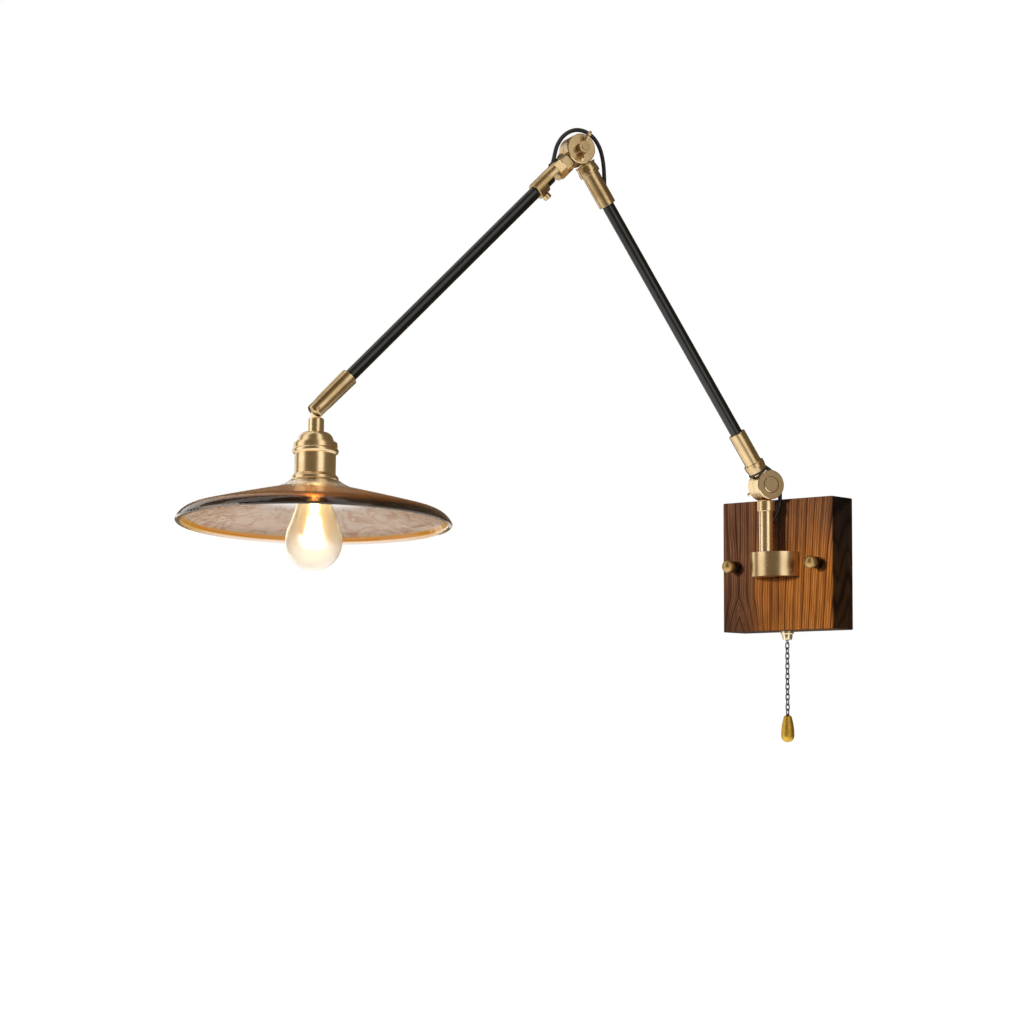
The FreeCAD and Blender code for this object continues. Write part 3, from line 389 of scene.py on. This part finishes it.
def glossy_cards(name, faces, colour, strength):
    """Cards that only reflections see."""
    cards = flat_mesh(name, faces)
    cards.visible_camera = cards.visible_diffuse = cards.visible_shadow = cards.visible_transmission = False
    material, shader = new_material(name)
    fill(shader, {"Base Color": (0, 0, 0, 1), "Roughness": 1.0, "Specular IOR Level": 0.0,
                  "Emission Color": colour, "Emission Strength": strength})
    cards.data.materials.append(material)


card_heights = range(CARD_LOW, CARD_HIGH, CARD_STEP)
places = [(angle, height) for angle in range(0, 360, CARD_STEP) for height in card_heights]
dark_faces = [card_face(*place) for place in places if not in_gap(place[0] + CARD_STEP / 2)]
light_faces = [card_face(*place) for place in places if in_gap(place[0] + CARD_STEP / 2)]
glossy_cards("dark_cards", dark_faces, CARD_COLOUR, CARD_TONE)
glossy_cards("strip_lights", light_faces, STRIP_COLOUR, STRIP_LIGHT)
print("dark cards", len(dark_faces), "strip lights", len(light_faces), "floor at", round(floor_z, 3))

# %% Lamps
KEY_FROM = Vector((-0.40, -2.2, 0.34))
KEY_POWER = 80
KEY_SIDE = 0.30
KEY_COLOUR = (1.0, 0.97, 0.92)

key_data = bpy.data.lights.new("key", "AREA")
key_data.energy = KEY_POWER
key_data.size = KEY_SIDE
key_data.color = KEY_COLOUR
key = bpy.data.objects.new("key", key_data)
key.location = KEY_FROM
key.rotation_euler = (joint_place["post_swing"] - KEY_FROM).to_track_quat("-Z", "Y").to_euler()
scene.collection.objects.link(key)
key.visible_glossy = False
print("key lamp", KEY_POWER, "W")

# %% [markdown]
# Antique brass covers most of the lamp. It is turned on a lathe and brushed, so fine lines run round each
# piece's own axis, and its colour turns dark brown in its own corners, where an occlusion test finds its
# surfaces close together. The recipe takes the axis as a turn of the coordinates, because the arms lean and
# their lines lean with them. The post, the shoulder and the socket get a brighter copy of the brass than
# the drum, and the arms and the elbow a darker one: these copies are painted light and painted shade, for
# the brighter and dimmer reflections of these pieces.

# %% Brass
BRASS_LIGHT = (0.770, 0.590, 0.350)
BRASS_DEEP = (0.580, 0.410, 0.210)
BRASS_CORNER_BROWN = (0.160, 0.092, 0.034)
LIT_BRASS_LIGHT = (0.900, 0.700, 0.430)
LIT_BRASS_DEEP = (0.720, 0.520, 0.280)
SHADED_BRASS_LIGHT = (0.650, 0.485, 0.270)
SHADED_BRASS_DEEP = (0.440, 0.300, 0.145)
BRASS_ROUGHNESS = 0.27
POLISH_CHANGE = 0.03
BRUSH_LINES = 2600.0
BRUSH_AROUND = 30.0
BRUSH_SHARE = 0.15
BRASS_CLOUDS = 38
CORNER_REACH = 0.006
CORNER_WEIGHT = 0.8


def brushed_brass(name, turn, light=BRASS_LIGHT, deep=BRASS_DEEP):
    material, shader = new_material(name)
    lines = noise(material, stretched(material, (BRUSH_AROUND, BRUSH_AROUND, BRUSH_LINES), turn), detail=2.0)
    clouds = noise(material, stretched(material, (BRASS_CLOUDS,) * 3), detail=4.0, roughness=0.6)
    brushed = math_of(material, "MULTIPLY", lines, BRUSH_SHARE)
    clouded = math_of(material, "MULTIPLY", clouds, 1 - BRUSH_SHARE)
    tone = math_of(material, "ADD", brushed, clouded)
    colour = ramp(material, tone, (0.36, deep), (0.60, light))
    # Darker brown where the occlusion test finds the piece's own surfaces close together
    reach = {"Distance": CORNER_REACH}
    corner = add(material, "AmbientOcclusion", reach, samples=32, only_local=True).outputs["AO"]
    corner_tone = ramp(material, corner, (0.30, BRASS_CORNER_BROWN), (0.75, (1, 1, 1)))
    cornered = blend_colours(material, CORNER_WEIGHT, colour, corner_tone, "MULTIPLY")
    rough = spread(material, clouds, BRASS_ROUGHNESS + POLISH_CHANGE, BRASS_ROUGHNESS - POLISH_CHANGE)
    fill(shader, {"Base Color": cornered, "Metallic": 1.0, "Roughness": rough})
    return material


def turn_to(direction):
    """The turn that lays a direction along Z, for coordinates."""
    return direction.rotation_difference(UP).to_euler()


lower_axis = (elbow - shoulder).normalized()
upper_axis = (wrist - elbow).normalized()
# Painted light and shade: a brighter copy of the brass for the post, the shoulder and the socket, and a
# darker copy for the arms and the elbow
upright_brass = brushed_brass("upright_brass", (0, 0, 0))
lower_brass = brushed_brass("lower_arm_brass", turn_to(lower_axis), SHADED_BRASS_LIGHT, SHADED_BRASS_DEEP)
upper_brass = brushed_brass("upper_arm_brass", turn_to(upper_axis), SHADED_BRASS_LIGHT, SHADED_BRASS_DEEP)
lit_brass = brushed_brass("lit_brass", (0, 0, 0), LIT_BRASS_LIGHT, LIT_BRASS_DEEP)
shoulder_brass = brushed_brass("shoulder_brass", turn_to(SIDE), LIT_BRASS_LIGHT, LIT_BRASS_DEEP)
elbow_brass = brushed_brass("elbow_brass", turn_to(SIDE), SHADED_BRASS_LIGHT, SHADED_BRASS_DEEP)
paint(upright_brass, "swivel_drum")
paint(lit_brass, "post_tube", "head_stem", "socket_cap", "socket_shell", "shade_ring")
paint(lower_brass, "shoulder_collar", "shoulder_sleeve", "elbow_collar", "elbow_sleeve")
paint(upper_brass, "upper_arm_sleeve", "upper_arm_lock_nuts", "wrist_fork")
paint(shoulder_brass, "post_knuckle", "shoulder_knuckle", "shoulder_bolt", "shoulder_wing_nut")
paint(elbow_brass, "elbow_knuckle", "upper_arm_knuckle", "elbow_bolt", "elbow_wing_nut", "sleeve_clamp_screw")
print("brass axes", [tuple(round(c, 2) for c in axis) for axis in (lower_axis, upper_axis, SIDE)])

# %% [markdown]
# The block is stained hardwood with upright grain. Its lines are counted outwards from a middle near the
# left side, where they spread into an arch low down, and they lean a little. Dark growth lines and finer
# lines follow that one count, with pores between them. Its colour is warm in the middle and low down on
# the right, a painted pool of light, and darker at the left and at the top, painted shade, with uneven
# stain over both. The cut sides take more stain and are darkened further as painted shade.

# %% Wood
GRAIN_MIDDLE = -0.046
GRAIN_LEAN = 0.05
GRAIN_FAN = 1.2
GRAIN_WANDER = 0.014
ARCH_TOP = -0.030
ARCH_SLOPE = 0.45
ARCH_WIDTH = 0.040
RINGS_PER_METRE = 105.0
LINES_PER_METRE = 350.0
WOOD_LIT_STAIN = (0.305, 0.110, 0.022)
WOOD_SHADED_STAIN = (0.135, 0.060, 0.031)
WOOD_RING = (0.22, 0.14, 0.10)
WOOD_LINE = (0.26, 0.18, 0.13)
WOOD_SIDE_STAIN_AND_SHADE = (0.56, 0.66, 0.95)
# Where the painted light turns warm: across from the left, and down from the top
LIGHT_POOL_ACROSS = (-0.046, -0.006)
LIGHT_POOL_DOWN = (0.055, -0.020)
LIGHT_POOL_AT_TOP = 0.15
STAIN_WEIGHT = 0.9
TONE_WEIGHT = 0.85
LINE_RELIEF = -0.3
RELIEF_DEPTH = 0.00010

wood, shader = new_material("stained_wood")
place = add(wood, "TexCoord").outputs["Object"]
split = add(wood, "SeparateXYZ", {"Vector": place})
right, up = split.outputs["X"], split.outputs["Z"]

wander = noise(wood, stretched(wood, (24, 24, 5)), detail=2.0)
lean = math_of(wood, "ADD", math_of(wood, "MULTIPLY", right, GRAIN_FAN), GRAIN_LEAN)
leaning = math_of(wood, "SUBTRACT", right, math_of(wood, "MULTIPLY", up, lean))
across = math_of(wood, "ABSOLUTE", math_of(wood, "SUBTRACT", leaning, GRAIN_MIDDLE))
below = math_of(wood, "MAXIMUM", math_of(wood, "SUBTRACT", ARCH_TOP, up), 0.0)
near = smooth_step(wood, across, ARCH_WIDTH, 0.0)
arch = math_of(wood, "MULTIPLY", math_of(wood, "MULTIPLY", below, ARCH_SLOPE), near)
depth = math_of(wood, "SUBTRACT", across, arch)
depth = math_of(wood, "ADD", depth, math_of(wood, "MULTIPLY", wander, GRAIN_WANDER))

ring = math_of(wood, "FRACT", math_of(wood, "MULTIPLY", depth, RINGS_PER_METRE))
line = math_of(wood, "FRACT", math_of(wood, "MULTIPLY", depth, LINES_PER_METRE))
ring_tone = ramp(wood, ring, (0.0, (1, 1, 1)), (0.66, grey(0.92)), (0.88, WOOD_RING), (1.0, grey(0.95)))
line_tone = ramp(wood, line, (0.0, (1, 1, 1)), (0.45, grey(0.92)), (0.78, WOOD_LINE), (1.0, grey(0.96)))
pores = noise(wood, stretched(wood, (1300, 1300, 20)), detail=2.0, roughness=0.6)
pore_tone = ramp(wood, pores, (0.34, grey(0.50)), (0.54, grey(1.0)))

stain = noise(wood, stretched(wood, (30, 30, 9)), detail=3.0)
# Painted light: warm low down and to the right, and painted shade at the left and at the top
pool_across = smooth_step(wood, right, *LIGHT_POOL_ACROSS)
pool_down = smooth_step(wood, up, *LIGHT_POOL_DOWN)
low_light = math_of(wood, "MULTIPLY", pool_down, 1 - LIGHT_POOL_AT_TOP)
painted_light = math_of(wood, "MULTIPLY", pool_across, math_of(wood, "ADD", LIGHT_POOL_AT_TOP, low_light))
uneven = math_of(wood, "MULTIPLY", math_of(wood, "SUBTRACT", stain, 0.5), STAIN_WEIGHT)
colour = ramp(wood, math_of(wood, "ADD", painted_light, uneven), (0.05, WOOD_SHADED_STAIN), (0.95, WOOD_LIT_STAIN))

blotch = noise(wood, stretched(wood, (55, 55, 16)), detail=4.0, roughness=0.6)
blotch_tone = ramp(wood, blotch, (0.32, grey(0.52)), (0.58, grey(1.0)))
for tone in (ring_tone, line_tone, pore_tone, blotch_tone):
    colour = blend_colours(wood, TONE_WEIGHT, colour, tone, "MULTIPLY")
# Faces that don't look to the front or the back come out darker: more stain, and painted shade
normal = add(wood, "NewGeometry").outputs["True Normal"]
facing = add(wood, "SeparateXYZ", {"Vector": normal}).outputs["Y"]
side_stain_and_shade = ramp(wood, math_of(wood, "ABSOLUTE", facing), (0.45, WOOD_SIDE_STAIN_AND_SHADE), (0.75, (1, 1, 1)))
colour = blend_colours(wood, 1.0, colour, side_stain_and_shade, "MULTIPLY")
relief = math_of(wood, "ADD", pores, math_of(wood, "MULTIPLY", line, LINE_RELIEF))
fill(shader, {"Base Color": colour, "Roughness": 0.60, "Specular IOR Level": 0.10,
              "Normal": bump(wood, relief, RELIEF_DEPTH, 0.5)})
paint(wood, "wood_block")
print("growth lines across the block", round(RINGS_PER_METRE * (cad_high.x - GRAIN_MIDDLE)))

# %% [markdown]
# The tubes of the arms are lacquered black and shine, and the cord and seals are black too but dull. Each
# black takes a little noise in its roughness, because an even black looks like a hole in the picture.

# %% Blacks
MOTTLE = 160
MOTTLE_DEPTH = 0.00004


def black_coating(name, tone, low, high, relief):
    """A black of a tone, with its roughness between low and high."""
    material, shader = new_material(name)
    mottle = noise(material, stretched(material, (MOTTLE,) * 3), detail=3.0)
    colour = ramp(material, mottle, (0.3, grey(tone * 0.7)), (0.7, grey(tone * 1.3)))
    fill(shader, {"Base Color": colour, "Roughness": spread(material, mottle, low, high),
                  "Normal": bump(material, mottle, MOTTLE_DEPTH, relief)})
    return material


lacquer = black_coating("black_tube", 0.006, 0.17, 0.22, 0.04)
jacket = black_coating("cord_jacket", 0.010, 0.36, 0.46, 0.2)
rubber = black_coating("seal_rubber", 0.009, 0.45, 0.60, 0.3)
switch_case = black_coating("black_plastic", 0.020, 0.35, 0.45, 0.2)
paint(lacquer, "lower_arm_tube", "upper_arm_tube")
paint(rubber, "shoulder_seal", "shoulder_friction_washer", "elbow_friction_washer")
paint(switch_case, "pull_switch")
for tube in (feed, lower_lead, upper_lead, shoulder_loop, elbow_loop):
    tube.data.materials.append(jacket)

# %% [markdown]
# The small metals share one recipe with a little cloud in the colour and in the polish. The bushing and the
# lamp holder's contacts are bright brass, the pendant is satin gold, and the chain is grey steel. Ceramic
# and white plastic use the recipe too, without the metal.

# %% Small metals
SMALL_CLOUDS = 120
EDGE_ROUNDING = 0.0002


def small_metal(name, colour, roughness, metallic=1.0, spread_of_tone=0.2):
    material, shader = new_material(name)
    cloud = noise(material, stretched(material, (SMALL_CLOUDS,) * 3), detail=3.0)
    dark = tuple(c * (1 - spread_of_tone) for c in colour)
    tone = ramp(material, cloud, (0.35, dark), (0.65, colour))
    rough = spread(material, cloud, roughness * 1.1, roughness * 0.9)
    rounded = add(material, "Bevel", {"Radius": EDGE_ROUNDING}, samples=6).outputs["Normal"]
    fill(shader, {"Base Color": tone, "Metallic": metallic, "Roughness": rough, "Normal": rounded})
    return material


steel = small_metal("steel", (0.52, 0.52, 0.53), 0.32)
aged_brass = small_metal("aged_brass", (0.52, 0.34, 0.145), 0.44)
# Near black for the ball nut spacers: their own dark bronze, with painted shade and a painted reflection of
# the dark wood
dark_bronze = small_metal("dark_bronze", (0.030, 0.021, 0.016), 0.28, metallic=0.7)
bright_brass = small_metal("bright_brass", (0.95, 0.84, 0.58), 0.28, spread_of_tone=0.1)
satin_gold = small_metal("satin_gold", (0.70, 0.44, 0.070), 0.50)
chain_steel = small_metal("chain_steel", (0.17, 0.165, 0.16), 0.26)
bulb_cap_metal = small_metal("bulb_cap_metal", (0.60, 0.59, 0.56), 0.30)
white_ceramic = small_metal("white_ceramic", (0.80, 0.78, 0.74), 0.25, metallic=0.0, spread_of_tone=0.06)
white_plastic = small_metal("white_plastic", (0.78, 0.77, 0.74), 0.45, metallic=0.0, spread_of_tone=0.06)
paint(steel, "wall_bracket", "bracket_studs", "drum_screws", "switch_plunger")
paint(steel, "swivel_spigot", "retaining_ring", "swivel_washer")
paint(aged_brass, "ball_nuts", "wrist_pin", "collar_grub_screws", "elbow_seal")
paint(dark_bronze, "ball_nut_spacers")
paint(bright_brass, "switch_bell", "screw_shell", "centre_contact")
paint(satin_gold, "chain_pendant")
paint(chain_steel, "pull_chain")
paint(bulb_cap_metal, "bulb_base")
paint(white_ceramic, "lamp_holder")
paint(white_plastic, "terminal_block")

# %% [markdown]
# The shade is amber glass poured with swirls. Its colour is what light keeps when it passes the wall once,
# so a look through two walls comes out darker by itself. The swirls lie in the head's own frame, where Z
# runs along the lamp's axis. The glass is almost clear at the neck. Its thick rim is darkened on the room
# side as painted shade, and has a gold stripe on the wall side. It also scatters a little light, which makes
# it glow orange where the bulb is near. Reflections leave the shade out, because its brightest spots would
# come out as dots on the brass.

# %% Amber glass
GLASS_PALE = (0.36, 0.262, 0.180)
GLASS_AMBER = (0.23, 0.085, 0.022)
GLASS_CLEAR = (0.97, 0.93, 0.88)
GLASS_LIP_SHADE = (0.150, 0.052, 0.008)
GLASS_RIM_SHADE = (0.028, 0.017, 0.010)
GLASS_GOLD = (0.50, 0.18, 0.010)
GLASS_EDGE = (0.94, 0.76, 0.62)
GLASS_GLOW = (1.0, 0.42, 0.06, 1)
GLASS_SCATTER = 0.085
GLASS_IOR = 1.5
SWIRL = 26.0
SWIRL_DEPTH = 0.0012
WALL_ROUGHNESS = 0.22
LIP_ROUGHNESS = 0.03
# Each change of colour has a start and an end: radii from the axis, heights from the wrist, or a way
# to the wall
CLEAR_RADII = (0.044, 0.066)
STRIPE_HEIGHTS = (-0.1042, -0.1052)
SHADED_LIP_HEIGHTS = (-0.0990, -0.1030)
PAINTED_SHADE_HEIGHTS = (-0.0860, -0.0985)
GOLD_HEIGHTS = (-0.0995, -0.1015)
GLOW_RADII = (0.050, 0.090)
GLOW_HEIGHTS = (-0.1010, -0.0960)
TO_WALL = (-0.7, 0.7, 0)
WALL_SIDE = (-0.05, 0.015)

bulb_tip = max((nodes["bulb_glass"].matrix_world @ v.co for v in nodes["bulb_glass"].data.vertices),
               key=lambda point: (point - wrist).length)
head_axis = (wrist - bulb_tip).normalized()
head_turn = UP.rotation_difference(head_axis).to_euler()


def in_head(material):
    """Coordinates from the wrist, with Z along the lamp's axis."""
    place = add(material, "TexCoord").outputs["Object"]
    inputs = {"Vector": place, "Location": wrist, "Rotation": head_turn}
    return add(material, "Mapping", inputs, vector_type="TEXTURE").outputs["Vector"]


def from_axis(material, vector):
    flat = add(material, "VectorMath", {0: vector, 1: (1, 1, 0)}, operation="MULTIPLY").outputs["Vector"]
    return add(material, "VectorMath", {0: flat}, operation="LENGTH").outputs["Value"]


amber, shader = new_material("amber_glass")
place = in_head(amber)
radius = from_axis(amber, place)
height = add(amber, "SeparateXYZ", {"Vector": place}).outputs["Z"]
to_wall = add(amber, "VectorMath", {0: place, 1: TO_WALL}, operation="DOT_PRODUCT").outputs["Value"]

inputs = {"Vector": place, "Scale": SWIRL, "Detail": 3.0, "Distortion": 2.2}
swirl = add(amber, "TexNoise", inputs).outputs["Fac"]
swirled = ramp(amber, swirl, (0.46, GLASS_PALE), (0.53, GLASS_AMBER), (0.57, GLASS_PALE), (0.66, GLASS_PALE),
               (0.72, GLASS_AMBER))
colour = blend_colours(amber, smooth_step(amber, radius, *CLEAR_RADII), (*GLASS_CLEAR, 1), swirled)
stripe = ramp(amber, smooth_step(amber, height, *STRIPE_HEIGHTS), (0.0, GLASS_GOLD), (1.0, GLASS_EDGE))
# Painted shade: on the room side the lower slope and the rim darken, to near black at the bottom edge
shaded_lip = ramp(amber, smooth_step(amber, height, *SHADED_LIP_HEIGHTS), (0.0, GLASS_LIP_SHADE), (1.0, GLASS_RIM_SHADE))
painted_shade_side = blend_colours(amber, smooth_step(amber, height, *PAINTED_SHADE_HEIGHTS), colour, shaded_lip)
gold_side = blend_colours(amber, smooth_step(amber, height, *GOLD_HEIGHTS), colour, stripe)
colour = blend_colours(amber, smooth_step(amber, to_wall, *WALL_SIDE), painted_shade_side, gold_side)

inputs = {"Value": height, "From Min": GOLD_HEIGHTS[1], "From Max": GOLD_HEIGHTS[0],
          "To Min": LIP_ROUGHNESS, "To Max": WALL_ROUGHNESS}
rough = add(amber, "MapRange", inputs).outputs["Result"]
fill(shader, {"Base Color": colour, "Roughness": rough, "IOR": GLASS_IOR, "Transmission Weight": 1.0,
              "Normal": bump(amber, swirl, SWIRL_DEPTH, 0.4)})
scatter = add(amber, "BsdfTranslucent", {"Color": GLASS_GLOW})
past_neck = math_of(amber, "MULTIPLY", smooth_step(amber, radius, *GLOW_RADII), GLASS_SCATTER)
near_bulb = math_of(amber, "MULTIPLY", smooth_step(amber, height, *GLOW_HEIGHTS), past_neck)
mixed = add(amber, "MixShader", {0: near_bulb, 1: shader.outputs[0], 2: scatter.outputs[0]})
fill(amber.node_tree.nodes["Material Output"], {"Surface": mixed.outputs[0]})
paint(amber, "glass_shade")
nodes["glass_shade"].visible_glossy = False

# %% [markdown]
# The bulb is on. Its filaments shine far brighter than white, and the envelope is a rough glass that
# spreads their light, so the middle burns out and the sides stay yellow. A small lamp inside lights the
# shade and the holder. Reflections leave the bulb out, as they do the shade.

# %% Bulb
GLOW = (1.0, 0.70, 0.30)
GLOW_PALE = (1.0, 0.80, 0.45)
GLOW_POWER = 1.6
GLOW_SIZE = 0.012
GLOW_ABOVE_TIP = 0.030
FILAMENT_SHINE = 100.0
TINT_HIGH = (0.97, 0.86, 0.64)
TINT_LOW = (0.95, 0.91, 0.84)
TINT_HEIGHTS = (-0.085, -0.125)
TINT_HAZE = 0.01
ENVELOPE_ROUGHNESS = 0.31
ENVELOPE_IOR = 1.30

envelope, shader = new_material("clear_glass")
place = in_head(envelope)
haze = noise(envelope, place, scale=60.0, detail=2.0)
fall = add(envelope, "SeparateXYZ", {"Vector": place}).outputs["Z"]
hazy_fall = math_of(envelope, "ADD", fall, math_of(envelope, "MULTIPLY", haze, TINT_HAZE))
tint = ramp(envelope, smooth_step(envelope, hazy_fall, *TINT_HEIGHTS), (0.0, TINT_HIGH), (1.0, TINT_LOW))
fill(shader, {"Base Color": tint, "Roughness": ENVELOPE_ROUGHNESS, "IOR": ENVELOPE_IOR,
              "Transmission Weight": 1.0})
paint(envelope, "bulb_glass")
nodes["bulb_glass"].visible_shadow = nodes["bulb_glass"].visible_glossy = False

wire, shader = new_material("filament")
glow_tone = ramp(wire, noise(wire, in_head(wire), scale=200.0), (0.3, GLOW), (0.7, GLOW_PALE))
fill(shader, {"Base Color": glow_tone, "Emission Color": glow_tone, "Emission Strength": FILAMENT_SHINE})
paint(wire, "bulb_filament")
nodes["bulb_filament"].visible_glossy = False

glow = bpy.data.lights.new("bulb_light", "POINT")
glow.energy = GLOW_POWER
glow.color = GLOW
glow.shadow_soft_size = GLOW_SIZE
bulb_light = bpy.data.objects.new("bulb_light", glow)
bulb_light.location = bulb_tip + head_axis * GLOW_ABOVE_TIP
bulb_light.visible_camera = bulb_light.visible_glossy = bulb_light.visible_transmission = False
scene.collection.objects.link(bulb_light)
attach(bulb_light, "lamp_head")
print("bulb tip", [round(c, 3) for c in bulb_tip], "axis", [round(c, 3) for c in head_axis])
